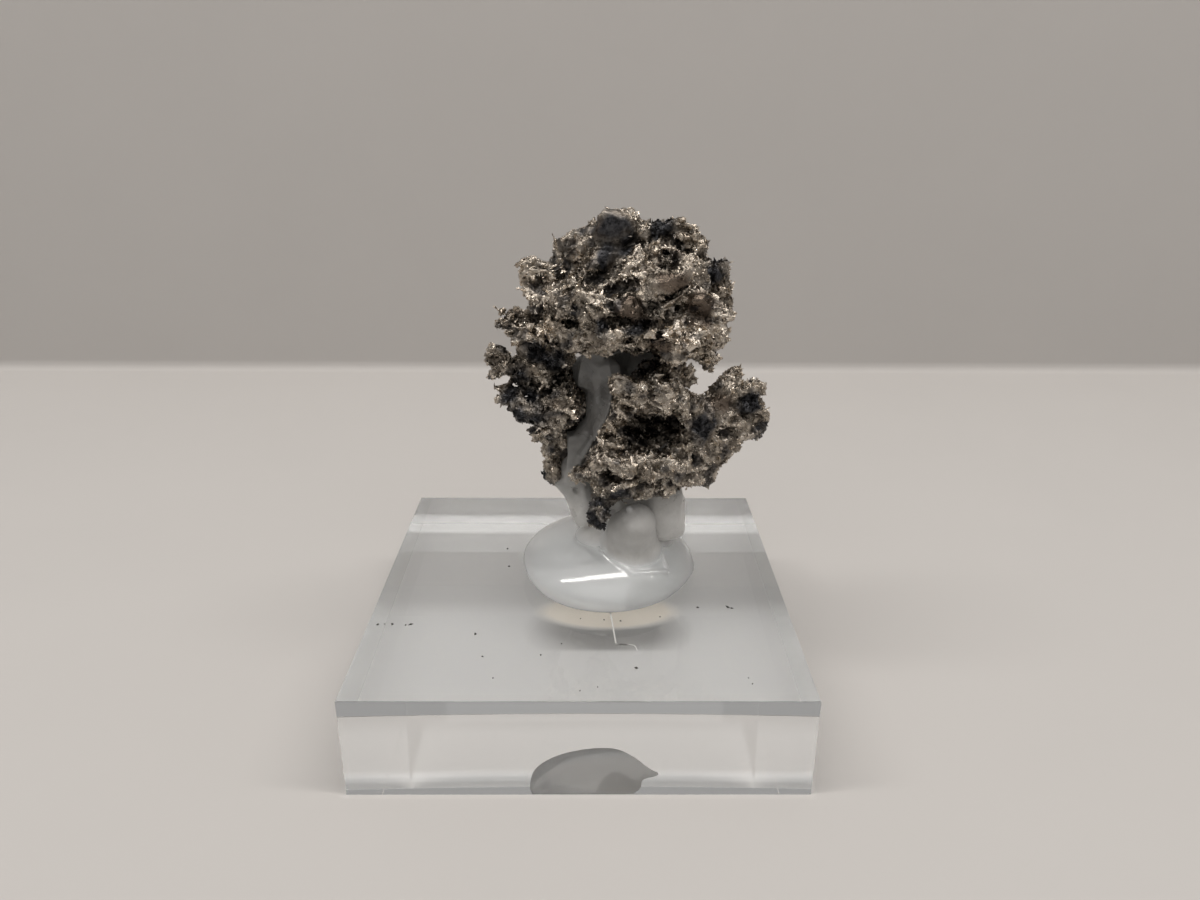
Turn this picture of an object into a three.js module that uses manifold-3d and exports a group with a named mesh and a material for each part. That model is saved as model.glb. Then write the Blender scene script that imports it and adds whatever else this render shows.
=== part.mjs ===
// Native silver grown on calcite, bonded with clear glue to a clear acrylic display block.
//
// Frame: millimetres, +Z up, origin at the centre of the block's underside, and -Y towards the
// specimen's show face. The silver is one intergrown mass that forks into six lobes over the
// calcite. Each lobe is its own solid, trimmed back from its neighbours by FIT_GAP.
import * as THREE from "three";
import { mergeVertices } from "three/addons/utils/BufferGeometryUtils.js";
import Module from "manifold-3d";

const wasm = await Module();
wasm.setup();

// ---------------------------------------------------------------- driving dimensions (mm)

const BLOCK_SIDE = 38.1;
const BLOCK_THICKNESS = 9.2;
const BLOCK_CHAMFER = 0.2;

// The glue mound is oval, off the block's centre, and thicker on its left than on its right.
const MOUND_CENTRE = [2.7, 2.0];
const MOUND_RADII = [8.25, 8.8];
const MOUND_LEAN = 0.06; // share of the height lost for each millimetre to the right
const MOUND_MIDDLE = 1.07; // share of the profile's height that the mound has at its centre
const MOUND_SEGMENTS = 32;

// The mound's outline as [share of radius, height]: a rounded rim, then a slope up to a neck.
const MOUND_PROFILE = [
  [0, 0],
  [0.93, 0],
  [0.985, 0.35],
  [1.0, 0.75],
  [0.985, 1.25],
  [0.92, 1.85],
  [0.8, 2.6],
  [0.62, 3.5],
  [0.44, 4.5],
  [0.25, 5.5],
  [0, 5.9],
];

const FIT_GAP = 0.3; // clearance between pieces that grew or set against each other
const MERGE_DISTANCE = 1e-4; // vertices closer than this are one vertex
const LUMPINESS = 0.1; // share of a ball's radius that its surface swells and dips
const SMALL_BALL = 1.75; // a ball under this radius is a plain icosahedron
const ICOSAHEDRON_FILL = 1.1; // and is drawn this much larger, to hold a round ball's volume

// ---------------------------------------------------------------- balls of each lobe
// Each is [x, y, z, radius], with an optional [x, y, z] stretch of the radius.

const CROWN = [
  // the dark upright plate at the very top, and the peaks beside it
  [3.1, 0.0, 42.4, 1.8, [1.1, 0.6, 1.1]],
  [3.9, 0.2, 43.5, 0.9],
  [-0.6, 0.0, 41.2, 1.5],
  [0.8, 0.2, 41.6, 1.5],
  [5.4, 0.5, 42.3, 1.1],
  [7.2, 1.0, 42.1, 1.5],
  [8.9, 1.0, 41.9, 1.5],
  // the right edge, from the top down
  [10.1, 1.5, 40.9, 1.2],
  [11.5, 1.0, 39.3, 1.3],
  [11.8, 1.5, 37.4, 1.3],
  [11.8, 1.0, 35.5, 1.5],
  [11.7, 0.1, 33.8, 1.5],
  [10.9, -0.4, 32.0, 1.2],
  // the front, upper row then lower rows
  [2.2, -1.0, 39.7, 2.1],
  [5.2, -1.6, 39.6, 2.3],
  [8.8, -0.8, 39.0, 2.3],
  [-0.7, -1.2, 37.1, 2.0],
  [2.2, -2.4, 36.8, 2.1],
  [5.3, -2.9, 36.9, 2.1],
  [8.4, -2.0, 36.4, 2.2],
  [2.8, -2.7, 34.1, 1.5],
  [5.2, -3.1, 34.2, 1.6],
  [7.6, -3.1, 33.9, 1.9],
  [9.9, -1.9, 33.6, 1.7],
  [-2.0, -0.4, 35.0, 1.7],
  [-0.9, -0.7, 33.3, 1.5],
  [0.9, -1.6, 34.2, 1.8],
  // the back and the heart
  [-0.6, 4.4, 38.4, 2.4],
  [3.0, 6.0, 40.0, 2.5],
  [7.2, 5.6, 39.8, 2.6],
  [10.0, 4.6, 36.8, 2.2],
  [0.2, 5.6, 34.6, 2.3],
  [4.0, 8.4, 36.8, 2.4],
  [8.0, 7.6, 35.8, 2.3],
  [5.2, 7.8, 33.0, 2.2],
  [4.8, 2.6, 36.8, 4.7],
];

const LEFT_WING = [
  // the upright leaf
  [-4.9, 1.0, 39.6, 0.6, [1.0, 0.8, 1.2]],
  [-4.3, 1.0, 39.9, 0.6],
  [-4.0, 1.0, 38.7, 1.0],
  [-4.5, 1.0, 37.4, 0.7],
  [-3.2, 0.8, 37.2, 1.2],
  [-2.9, 0.8, 38.5, 0.9],
  [-3.4, 0.8, 35.7, 1.4],
  // the upper branch
  [-7.0, 1.5, 35.0, 0.7],
  [-6.5, 1.5, 34.1, 0.9],
  [-5.4, 1.2, 33.8, 1.2, [1.1, 0.8, 1.2]],
  [-4.1, 0.9, 33.6, 1.5],
  [-3.0, 0.4, 34.0, 1.5],
  // the lower branch
  [-7.7, 2.0, 31.6, 0.7],
  [-7.9, 2.0, 30.2, 0.7],
  [-7.1, 2.0, 30.7, 0.8],
  [-6.2, 1.9, 30.2, 0.9],
  [-5.1, 1.5, 31.3, 1.2],
  [-3.9, 1.0, 30.9, 1.6],
  [-2.4, 0.4, 31.7, 1.6],
  [-4.7, 1.0, 29.2, 0.9],
  [-3.3, 0.8, 29.6, 1.3],
];

const LEFT_LOBE = [
  // the dark mass set back beside the calcite
  [-2.4, 2.2, 28.6, 1.9],
  // the pointed lobe, from its tip, then the tail down the calcite
  [-6.9, 0.5, 27.7, 0.6],
  [-6.2, 0.5, 27.2, 0.8],
  [-5.0, 0.3, 26.9, 1.2],
  [-3.6, 0.0, 27.0, 1.4],
  [-1.7, -1.4, 27.3, 1.7],
  [-2.5, -0.6, 25.6, 1.4],
  [-3.6, 0.5, 24.5, 1.2],
  [-3.2, 0.8, 23.0, 1.1],
  [-2.8, 1.0, 21.5, 1.0],
  [-2.6, 1.3, 19.8, 1.1],
];

const ARCH = [
  [3.6, -3.0, 29.6, 1.1],
  [5.2, -3.4, 29.7, 1.5],
  [7.2, -3.4, 29.7, 1.6],
  [9.1, -3.0, 28.9, 1.4],
  [6.2, -2.2, 30.8, 1.2],
  [8.2, -1.6, 30.9, 1.3],
  [3.4, -3.0, 27.8, 1.0],
  [2.9, -3.0, 26.0, 1.0],
  // the dark wall at the back of the hollow under the arch
  [6.8, -0.9, 27.9, 1.9],
];

const LOWER_BAND = [
  [2.6, -3.0, 24.4, 1.1],
  [1.7, -2.8, 22.8, 1.3],
  [0.0, -2.0, 21.1, 1.1],
  [2.1, -2.6, 20.6, 1.7],
  [1.8, -2.8, 18.6, 1.2],
  [1.6, -2.8, 17.4, 0.7],
  [4.0, -3.4, 22.3, 1.7],
  [4.2, -3.0, 20.4, 1.3],
  [6.0, -3.4, 22.6, 1.6],
  [5.8, -3.0, 20.8, 1.2],
  [8.0, -3.2, 22.8, 1.7],
  [7.8, -2.8, 21.3, 1.3],
  [5.8, -1.1, 23.5, 1.8],
];

const RIGHT_WING = [
  [10.3, -1.8, 24.3, 2.1],
  [10.7, -1.8, 26.8, 1.8],
  [12.4, -1.2, 27.3, 1.7],
  [14.0, -0.8, 28.0, 1.5],
  [15.5, -0.6, 28.6, 1.1],
  [15.6, -0.4, 27.1, 1.2],
  [15.4, -0.4, 25.2, 1.2],
  [13.9, -0.8, 25.3, 1.6],
  [12.4, -1.2, 23.6, 1.6],
  [11.2, -1.6, 21.9, 1.3],
  [9.8, -2.0, 21.9, 1.4],
  [13.4, -0.2, 29.9, 0.9, [0.9, 0.8, 1.5]],
  [8.8, 0.6, 25.8, 1.9],
];

const CALCITE = [
  [1.7, 1.4, 30.0, 1.7, [1.0, 1.2, 1.4]],
  [0.3, 2.6, 29.6, 1.6, [1.0, 1.2, 1.4]],
  [1.9, 1.0, 26.8, 1.6, [1.0, 1.3, 1.4]],
  [0.6, 1.0, 23.6, 1.6, [1.0, 1.3, 1.4]],
  [-0.6, 1.2, 20.4, 1.6, [1.0, 1.3, 1.3]],
  [0.5, 1.8, 16.8, 1.8, [1.0, 1.3, 1.4]],
  [6.0, 5.0, 29.3, 3.5],
  [5.0, 5.0, 24.6, 4.2],
  [5.0, 3.8, 19.2, 4.4],
  [8.0, 2.3, 16.6, 1.9, [1.0, 1.1, 1.6]],
  [4.6, 3.0, 14.0, 4.1],
];

// The round drop of glue in front of the calcite's foot, and the neck that joins it to the mound.
const KNOB = [
  [4.5, -2.4, 16.2, 2.2],
  [4.5, -1.7, 13.6, 2.4],
];

// ---------------------------------------------------------------- solids

function solidFrom(geometry) {
  const bare = geometry.clone();
  bare.deleteAttribute("normal");
  bare.deleteAttribute("uv");
  const merged = mergeVertices(bare, MERGE_DISTANCE);
  const mesh = new wasm.Mesh({
    numProp: 3,
    vertProperties: new Float32Array(merged.attributes.position.array),
    triVerts: new Uint32Array(merged.index.array),
  });
  return new wasm.Manifold(mesh);
}

function geometryFrom(solid) {
  const { numProp, vertProperties, triVerts } = solid.getMesh();
  const count = vertProperties.length / numProp;
  const positions = new Float32Array(count * 3);
  for (let i = 0; i < count; i++) {
    positions.set(vertProperties.subarray(i * numProp, i * numProp + 3), i * 3);
  }
  const geometry = new THREE.BufferGeometry();
  geometry.setAttribute("position", new THREE.BufferAttribute(positions, 3));
  geometry.setIndex(new THREE.BufferAttribute(new Uint32Array(triVerts), 1));
  geometry.computeVertexNormals();
  return geometry;
}

// One uneven ball. Three crossed waves swell it, and its place sets how its facets are turned.
function ballSolid([x, y, z, radius, stretch = [1, 1, 1]], grow) {
  const small = radius < SMALL_BALL;
  const ball = new THREE.IcosahedronGeometry(small ? ICOSAHEDRON_FILL : 1, small ? 0 : 1);
  ball.rotateX(x + 2 * z);
  ball.rotateZ(y + 3 * x);
  const position = ball.attributes.position;
  const p = new THREE.Vector3();
  for (let i = 0; i < position.count; i++) {
    p.fromBufferAttribute(position, i);
    const wave =
      Math.sin(3.1 * p.x + 1.7 * x) +
      Math.sin(2.7 * p.y + 2.3 * y + 1.1 * z) +
      Math.sin(3.7 * p.z + 1.3 * z);
    const swell = 1 + (LUMPINESS * wave) / 3;
    position.setXYZ(
      i,
      x + p.x * (radius * stretch[0] * swell + grow),
      y + p.y * (radius * stretch[1] * swell + grow),
      z + p.z * (radius * stretch[2] * swell + grow),
    );
  }
  return solidFrom(ball);
}

function clusterSolid(balls, grow = 0) {
  return balls
    .map((ball) => ballSolid(ball, grow))
    .reduce((whole, ball) => whole.add(ball));
}

// Trimming can leave loose crumbs, so only the main body is kept.
function mainBody(solid) {
  return solid
    .decompose()
    .reduce((best, body) => (body.volume() > best.volume() ? body : best));
}

function blockGeometry() {
  const half = BLOCK_SIDE / 2 - BLOCK_CHAMFER;
  const outline = new THREE.Shape()
    .moveTo(-half, -half)
    .lineTo(half, -half)
    .lineTo(half, half)
    .lineTo(-half, half)
    .closePath();
  const geometry = new THREE.ExtrudeGeometry(outline, {
    depth: BLOCK_THICKNESS - 2 * BLOCK_CHAMFER,
    bevelEnabled: true,
    bevelThickness: BLOCK_CHAMFER,
    bevelSize: BLOCK_CHAMFER,
    bevelSegments: 1,
  });
  return geometry.translate(0, 0, BLOCK_CHAMFER);
}

function moundSolid() {
  const profile = MOUND_PROFILE.map(([share, height]) => new THREE.Vector2(share, height));
  const mound = new THREE.LatheGeometry(profile, MOUND_SEGMENTS);
  mound.rotateX(Math.PI / 2);
  mound.scale(MOUND_RADII[0], MOUND_RADII[1], 1);
  const position = mound.attributes.position;
  for (let i = 0; i < position.count; i++) {
    const lean = MOUND_MIDDLE - MOUND_LEAN * position.getX(i);
    position.setZ(i, position.getZ(i) * lean);
  }
  mound.translate(MOUND_CENTRE[0], MOUND_CENTRE[1], BLOCK_THICKNESS);
  return solidFrom(mound);
}

// ---------------------------------------------------------------- materials

function material(color, roughness, metalness = 0, opacity = 1) {
  return new THREE.MeshStandardMaterial({
    color,
    roughness,
    metalness,
    opacity,
    transparent: opacity < 1,
  });
}

const acrylicFinish = material(0xf4f6f7, 0.03, 0, 0.3);
const glueFinish = material(0xe6eaee, 0.1, 0, 0.45);
const calciteFinish = material(0xe2ddd6, 0.35);
const silverFinish = material(0x9b9082, 0.3, 1);

// ---------------------------------------------------------------- assembly

const specimen = new THREE.Group();

function addNode(name, geometry, finish) {
  const mesh = new THREE.Mesh(geometry, finish);
  mesh.name = name;
  specimen.add(mesh);
}

addNode("acrylic_block", blockGeometry(), acrylicFinish);
addNode("calcite_matrix", geometryFrom(clusterSolid(CALCITE)), calciteFinish);

const silverLobes = {
  silver_lower_band: LOWER_BAND,
  silver_arch: ARCH,
  silver_right_wing: RIGHT_WING,
  silver_crown: CROWN,
  silver_left_wing: LEFT_WING,
  silver_left_lobe: LEFT_LOBE,
};

// Each lobe is cut back from the calcite and from the lobes before it.
let taken = clusterSolid(CALCITE, FIT_GAP);
for (const [name, balls] of Object.entries(silverLobes)) {
  const lobe = mainBody(clusterSolid(balls).subtract(taken));
  addNode(name, geometryFrom(lobe), silverFinish);
  taken = taken.add(clusterSolid(balls, FIT_GAP));
}

const glue = moundSolid().add(clusterSolid(KNOB)).subtract(taken);
addNode("glue_mound", geometryFrom(mainBody(glue)), glueFinish);

export default specimen;
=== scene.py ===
"""Native silver on calcite, held by clear glue on an acrylic block.

Lengths are in millimetres in the frame of the CAD model, until a mesh or a lamp is made of them.
"""

import math
from types import SimpleNamespace

import bmesh
import bpy
import numpy as np
import openvdb as vdb
from mathutils import Matrix, Vector
from mathutils.geometry import delaunay_2d_cdt


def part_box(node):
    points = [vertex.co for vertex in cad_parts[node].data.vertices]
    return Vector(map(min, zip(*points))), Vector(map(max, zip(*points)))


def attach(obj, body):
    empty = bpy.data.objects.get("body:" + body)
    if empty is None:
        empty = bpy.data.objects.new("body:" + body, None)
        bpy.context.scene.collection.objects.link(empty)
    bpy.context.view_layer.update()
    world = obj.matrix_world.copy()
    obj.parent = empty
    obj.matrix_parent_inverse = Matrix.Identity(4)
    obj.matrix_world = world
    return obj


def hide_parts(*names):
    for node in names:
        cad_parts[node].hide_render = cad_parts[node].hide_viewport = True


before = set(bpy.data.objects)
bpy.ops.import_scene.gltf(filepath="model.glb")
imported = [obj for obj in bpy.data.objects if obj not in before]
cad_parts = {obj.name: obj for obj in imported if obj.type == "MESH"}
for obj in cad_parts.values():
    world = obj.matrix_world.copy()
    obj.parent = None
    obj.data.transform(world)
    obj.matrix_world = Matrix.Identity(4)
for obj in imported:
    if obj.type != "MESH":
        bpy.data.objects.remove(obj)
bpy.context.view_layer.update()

MM = 0.001

# ---------------- silver: shape
SILVER_NODES = (
    "silver_crown",
    "silver_left_wing",
    "silver_left_lobe",
    "silver_arch",
    "silver_lower_band",
    "silver_right_wing",
)
SILVER_CELL = 0.15
SILVER_MARGIN = 1.6
SILVER_ROUNDING = 0.3  # blur of the CAD solids, which takes off their flat facets
SILVER_SWELL = 0.04  # closes the fitting gaps between the solids
SILVER_OVERLAP = 0.1  # how far neighbouring pieces run into each other
SLAB_FILLET = 0.25
TINE_FILLET = 0.2
HOLLOW_RAGGEDNESS = 0.2  # how uneven a hollow's wall is, as a share of its smallest half size
PLATE = ((2.75, -0.9, 42.9), (1.75, 0.9, 1.6))  # the smooth upright plate at the very top
PLATE_CALM = 0.75  # share of the relief that is left off the plate
FILM_CALM = 0.55  # share of the relief that is left off the filmed spots
# lumps and ridges: size along x, y and z, depth, 1 for lumps with creases between them or -1 for
# sharp ridges, seed
SILVER_RELIEF = (
    ((2.8, 2.4, 1.4), 0.36, 1, 11),
    ((1.3, 1.3, 1.0), 0.30, -1, 12),
    ((0.75, 0.75, 0.65), 0.24, -1, 13),
    ((0.42, 0.42, 0.42), 0.15, 1, 14),
)
RELIEF_LIMIT = 1.7  # how far the relief may swell, as a share of its noise's spread
RELIEF_MIDDLE = 0.8  # the mean swell, which is taken off so that the silver keeps its size
# ledges and slabs that stand out: centre, half sizes, then the tilt up to the right in degrees
SILVER_SLABS = (
    ((6.6, -3.9, 38.1), (2.7, 1.6, 0.8), 34),
    ((8.6, -3.6, 35.0), (3.2, 1.9, 0.9), 10),
    ((3.9, -4.2, 35.2), (2.0, 1.3, 0.6), 4),
    ((0.9, -3.1, 37.9), (2.3, 1.5, 0.8), 6),
    ((6.9, -2.2, 41.6), (2.3, 1.3, 0.6), 12),
    ((9.6, -3.0, 37.2), (1.7, 1.6, 0.9), -8),
    (*PLATE, 0),
    ((13.3, -1.2, 29.2), (0.8, 0.8, 0.9), 40),
    # this slab backs the cave, where the shade spots paint it dark as painted shade
    ((6.0, 0.6, 25.4), (3.4, 1.0, 2.4), 0),
    ((-1.9, 1.4, 28.0), (1.0, 1.5, 1.6), 0),
    ((-2.0, 1.2, 24.0), (0.9, 1.0, 1.8), 0),
    ((-5.3, 0.7, 28.2), (1.4, 0.8, 0.6), -15),
    ((7.2, -4.8, 39.5), (1.8, 1.0, 0.9), 25),
    ((9.8, -4.1, 37.5), (1.3, 0.9, 0.9), 0),
    ((3.9, -4.8, 37.0), (1.2, 0.7, 0.9), -30),
    ((-1.2, 2.4, 26.6), (1.4, 1.0, 2.6), 0),
    ((-1.6, 2.2, 23.6), (1.2, 1.0, 2.2), 0),
    ((-6.6, 0.2, 34.6), (1.7, 1.2, 1.3), 10),
    ((-4.8, 0.3, 34.0), (1.5, 1.3, 1.3), 0),
    ((9.0, -0.5, 42.2), (1.6, 1.1, 1.0), -25),
    ((7.9, -0.4, 42.9), (1.9, 1.2, 0.8), 0),
    ((7.7, -1.4, 23.4), (1.2, 0.8, 0.8), 0),
    ((7.9, -0.4, 24.2), (0.9, 0.8, 0.9), 0),
    ((-5.1, 1.6, 28.5), (1.0, 0.7, 0.9), 0),
    ((-0.6, 2.0, 25.0), (0.9, 0.8, 1.0), 0),
    ((-2.0, 1.6, 21.2), (0.8, 0.7, 1.0), 0),
    ((-3.3, 1.2, 38.4), (0.9, 0.8, 0.9), 0),
    ((9.3, -1.0, 30.1), (0.8, 1.0, 0.9), 0),
)
# points and tines along the outline: foot, then tip; each x, y, z, radius
SILVER_TINES = (
    ((-4.0, -0.6, 38.7, 0.8), (-5.2, -0.3, 40.5, 0.25)),
    ((-3.6, -0.4, 39.0, 0.6), (-4.1, -0.2, 40.2, 0.25)),
    ((-6.4, 0.2, 34.8, 0.9), (-7.5, 0.3, 35.4, 0.45)),
    ((-5.0, 0.2, 34.6, 0.6), (-5.8, 0.3, 35.9, 0.2)),
    ((-6.2, 0.2, 34.2, 0.9), (-8.7, 0.2, 34.5, 0.45)),
    ((-6.6, 0.8, 31.6, 0.5), (-7.6, 0.6, 32.6, 0.2)),
    ((-6.7, 0.8, 30.8, 0.5), (-7.8, 0.8, 30.1, 0.2)),
    ((-5.6, 0.0, 27.6, 0.7), (-7.5, 0.0, 27.8, 0.25)),
    ((-4.9, 0.0, 26.8, 0.7), (-5.7, 0.0, 25.9, 0.25)),
    ((13.0, -1.0, 29.0, 0.7), (13.4, -1.0, 30.6, 0.5)),
    ((-2.6, 1.0, 21.0, 0.8), (-2.5, 1.0, 19.1, 0.5)),
    ((1.9, -4.0, 18.3, 0.8), (1.8, -4.0, 17.2, 0.25)),
)
# hollows and undercuts: centre, half sizes, then the tilt up to the right in degrees
SILVER_HOLLOWS = (
    ((7.5, -3.6, 40.6), (1.5, 1.8, 0.8), 8),
    ((4.9, -4.2, 40.2), (1.2, 1.2, 0.4), 20),
    ((0.9, -3.6, 39.2), (1.0, 1.5, 0.7), 0),
    ((-1.4, -1.6, 39.6), (0.8, 1.2, 0.6), 0),
    ((2.6, -5.2, 36.1), (1.6, 1.1, 0.6), 0),
    ((5.8, -6.3, 37.3), (1.5, 1.3, 0.75), 35),
    ((8.2, -5.2, 38.7), (2.0, 1.6, 0.22), 30),
    ((5.2, -3.6, 32.2), (2.4, 2.4, 1.3), 0),
    ((-1.4, -2.4, 29.9), (1.4, 1.6, 0.8), 0),
    ((-3.2, -2.6, 35.8), (0.9, 1.0, 0.5), 0),
    ((6.3, -4.4, 25.5), (2.9, 3.8, 1.6), 0),
    ((-7.8, 0.8, 37.2), (1.6, 2.5, 0.9), 0),
    ((-7.3, 0.3, 29.2), (1.5, 3.0, 0.5), 8),
    ((-0.3, -2.2, 25.2), (1.3, 2.4, 1.6), 0),
    ((-1.0, -2.0, 22.8), (1.2, 2.2, 1.6), 0),
    ((0.6, -2.4, 27.2), (1.2, 2.4, 1.5), 0),
    ((5.2, -3.6, 18.1), (2.6, 2.5, 1.6), 0),
    ((12.2, -0.8, 30.6), (1.5, 3.5, 0.65), 50),
    ((14.0, 0.0, 36.3), (0.9, 3.0, 1.8), 0),
    ((17.1, -0.5, 28.4), (0.9, 3.0, 2.6), 0),
    ((13.7, -1.5, 21.8), (2.2, 3.0, 0.8), 46),
    ((-1.9, 0.0, 42.8), (1.8, 3.0, 0.7), 34),
    ((-9.1, 0.8, 31.4), (1.0, 2.5, 1.6), 0),
    ((-7.4, 0.5, 33.0), (0.9, 2.5, 0.35), 15),
)

# ---------------- silver: finish
# how uneven the rims of the spots below are, how sharp, and how far out, as shares of the radius
SPOT_RAGGEDNESS = 0.28
SPOT_SHARPNESS = 2.4
SPOT_REACH = 1.15
# dark blue-grey tarnish: x, y, z, radius
TARNISH = (
    (3.1, -1.2, 42.8, 2.0),
    (11.5, -0.6, 39.7, 1.9),
    (-0.2, -3.0, 36.9, 0.9),
    (1.6, -5.2, 35.2, 1.0),
    (4.2, -6.0, 35.5, 0.9),
    (-3.8, -0.2, 32.4, 1.1),
    (-1.5, -0.2, 39.6, 1.0),
    (14.9, -2.2, 27.8, 1.1),
    (10.9, -3.5, 27.0, 1.6),
    (10.5, -3.8, 25.7, 1.3),
    (-5.3, -0.6, 27.5, 2.6),
    (-2.6, 0.6, 19.1, 2.8),
    (-2.3, -1.0, 31.8, 1.2),
    (1.7, -3.7, 17.5, 2.5),
    (1.9, -4.0, 19.2, 0.9),
    (3.1, -4.0, 20.5, 0.8),
    (7.0, -0.4, 43.0, 1.5),
    (15.8, -1.0, 25.0, 0.9),
    (5.3, -3.5, 31.7, 0.9),
    (9.8, -4.0, 35.5, 0.6),
    (13.2, -0.5, 28.7, 0.5),
)
# smooth brown film: x, y, z, radius
FILM = (
    (7.2, -5.6, 39.5, 1.9),
    (9.8, -4.9, 37.5, 1.5),
    (3.9, -5.4, 37.0, 1.3),
    (5.3, -2.6, 32.4, 1.4),
    (6.4, -4.8, 33.8, 1.0),
    (12.3, -2.8, 28.2, 1.1),
    (10.4, -5.2, 36.4, 0.8),
    (1.6, -1.6, 43.3, 0.8),
)
# where the silver is most hackly, with bigger leaves, and painted brighter as a painted highlight for the
# light its upturned leaves catch: x, y, z, radius
HACKLY_AND_LIT_SPOTS = (
    (9.0, -5.4, 34.6, 3.0),
    (9.2, -4.8, 37.4, 1.0),
    (5.0, -5.7, 36.1, 1.2),
    (9.5, -4.5, 33.0, 2.4),
    (-3.8, -1.0, 33.6, 1.8),
    (6.4, -6.2, 38.2, 0.5),
    (9.3, -3.9, 39.3, 0.9),
    (-3.6, -0.6, 38.8, 1.4),
    (10.8, -4.5, 37.6, 2.4),
)
# where the silver's tone is lowered towards its dull brown: x, y, z, radius
DULL = (
    (-2.2, -1.0, 27.6, 2.2),
    (-5.6, -0.4, 33.6, 2.6),
    (-7.4, 0.2, 31.2, 1.8),
)
# deep shade: x, y, z, radius
SHADE = (
    (6.2, -0.6, 25.5, 2.6),
    (8.2, -0.6, 25.9, 1.6),
    (4.4, -0.8, 24.9, 1.4),
    (5.3, -1.6, 31.6, 1.8),
    (-1.6, 0.0, 30.0, 1.5),
    (7.5, -2.0, 40.5, 1.0),
    (0.9, -2.2, 39.1, 0.9),
    (5.9, -5.8, 37.3, 1.0),
)

# ---------------- silver: grains
GRAINS_PER_MM2 = 18.0
CRUMB_SIZE = 0.12
LEAF_SIZES = (0.25, 0.15, 0.045)
LEAF_SHARE = 0.25
TWIGS_PER_MM2 = 0.15
TWIG_JOINTS = 3
TWIG_SIZES = (0.24, 0.13, 0.10)  # length and two widths of a twig's first joint
TWIG_TAPER = (0.05, 0.03, 0.02)  # how much less each further joint has of these
CORE_TONE = 0.2  # brightness of the core, on the scale on which the grains run from 0 to 1.4
CUT_DEPTH = 0.05  # a surface deeper than this in the whole silver is a cut between two nodes

# ---------------- grids and meshes


class Grid:
    """A box of evenly spaced points, on which distance fields and noise are held as arrays."""

    def __init__(self, low, high, cell):
        self.low = np.array(low, np.float64)
        self.cell = cell
        self.shape = tuple(int(n) for n in np.ceil((np.array(high) - self.low) / cell) + 1)

    def coordinates(self):
        """x, y and z of the points, shaped to combine with the grid's arrays."""
        x, y, z = (self.low[k] + self.cell * np.arange(self.shape[k], dtype=np.float32) for k in range(3))
        return x[:, None, None], y[None, :, None], z[None, None, :]

    def distance(self, points, triangles, band=1.8):
        """Signed distance to a closed mesh, positive outside, cut off at the band's half width."""
        cells = band / self.cell
        field = vdb.FloatGrid.createLevelSetFromPolygons(
            ((points - self.low) / self.cell).astype(np.float32),
            triangles=triangles.astype(np.uint32),
            transform=vdb.createLinearTransform(voxelSize=1.0),
            halfWidth=cells,
        )
        array = np.full(self.shape, cells, np.float32)
        field.copyToArray(array, ijk=(0, 0, 0))
        return array * self.cell

    def noise(self, sizes, seed):
        """Smooth noise of unit spread, its lumps as wide as sizes says along each axis."""
        weights = [spline_weights(self.shape[k], self.cell / sizes[k]) for k in range(3)]
        lattice = np.random.default_rng(seed).standard_normal([w.shape[1] for w in weights])
        field = lattice.astype(np.float32)
        for axis_weights in weights:
            field = np.tensordot(field, axis_weights, axes=(0, 1))
        return field / field.std()

    def blur(self, field, radius):
        """The field averaged over a soft ball of about this radius."""
        reach = max(1, round(radius / self.cell))
        for axis in range(3):
            for _ in range(2):
                field = box_average(field, reach, axis)
        return field

    def sample(self, field, points):
        """The field's values at points anywhere in the box."""
        place = (points - self.low) / self.cell
        place = np.clip(place, 0, np.array(self.shape) - 1.001)
        corner = place.astype(int)
        part = place - corner
        value = np.zeros(len(points))
        for step in np.ndindex(2, 2, 2):
            share = np.prod(np.where(step, part, 1 - part), axis=1)
            i, j, k = (corner + step).T
            value += share * field[i, j, k]
        return value

    def surface(self, field):
        """Points and four-sided faces of the surface where the field is zero."""
        grid = vdb.FloatGrid()
        grid.copyFromArray(np.ascontiguousarray(field, dtype=np.float32))
        points, quads = grid.convertToQuads(isovalue=0.0)
        return points * self.cell + self.low, quads.astype(int)


def spline_weights(count, step):
    """Rows of cubic spline weights that spread a lattice of random values over count points."""
    place = np.arange(count) * step
    first = np.floor(place).astype(int)
    t = place - first
    weights = np.zeros((count, first.max() + 4), np.float32)
    shares = ((1 - t) ** 3, 3 * t**3 - 6 * t**2 + 4, -3 * t**3 + 3 * t**2 + 3 * t + 1, t**3)
    for offset, share in enumerate(shares):
        weights[np.arange(count), first + offset] = share / 6
    return weights


def box_average(field, reach, axis):
    """The mean of each point's neighbours up to reach steps away along one axis."""
    pad = [(0, 0)] * 3
    pad[axis] = (reach + 1, reach)
    total = np.cumsum(np.pad(field, pad, mode="edge"), axis=axis, dtype=np.float64)
    span = 2 * reach + 1
    size = field.shape[axis]
    ahead = np.take(total, range(span, span + size), axis=axis)
    behind = np.take(total, range(size), axis=axis)
    return ((ahead - behind) / span).astype(np.float32)


def mesh_points(mesh):
    """The corner points of a mesh, in millimetres."""
    points = np.empty(len(mesh.vertices) * 3, np.float32)
    mesh.vertices.foreach_get("co", points)
    return points.reshape(-1, 3) / MM


def node_mesh(name):
    """Corner points and triangles of a CAD node."""
    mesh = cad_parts[name].data
    mesh.calc_loop_triangles()
    triangles = np.empty(len(mesh.loop_triangles) * 3, np.int32)
    mesh.loop_triangles.foreach_get("vertices", triangles)
    return mesh_points(mesh), triangles.reshape(-1, 3)


def node_box(*names):
    """Lowest and highest corner of some CAD nodes together."""
    boxes = [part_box(name) for name in names]
    low = np.min([np.array(b[0]) for b in boxes], axis=0) / MM
    high = np.max([np.array(b[1]) for b in boxes], axis=0) / MM
    return low, high


def link_object(name, data):
    """An object with this data, in the scene."""
    thing = bpy.data.objects.new(name, data)
    bpy.context.scene.collection.objects.link(thing)
    return thing


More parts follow.
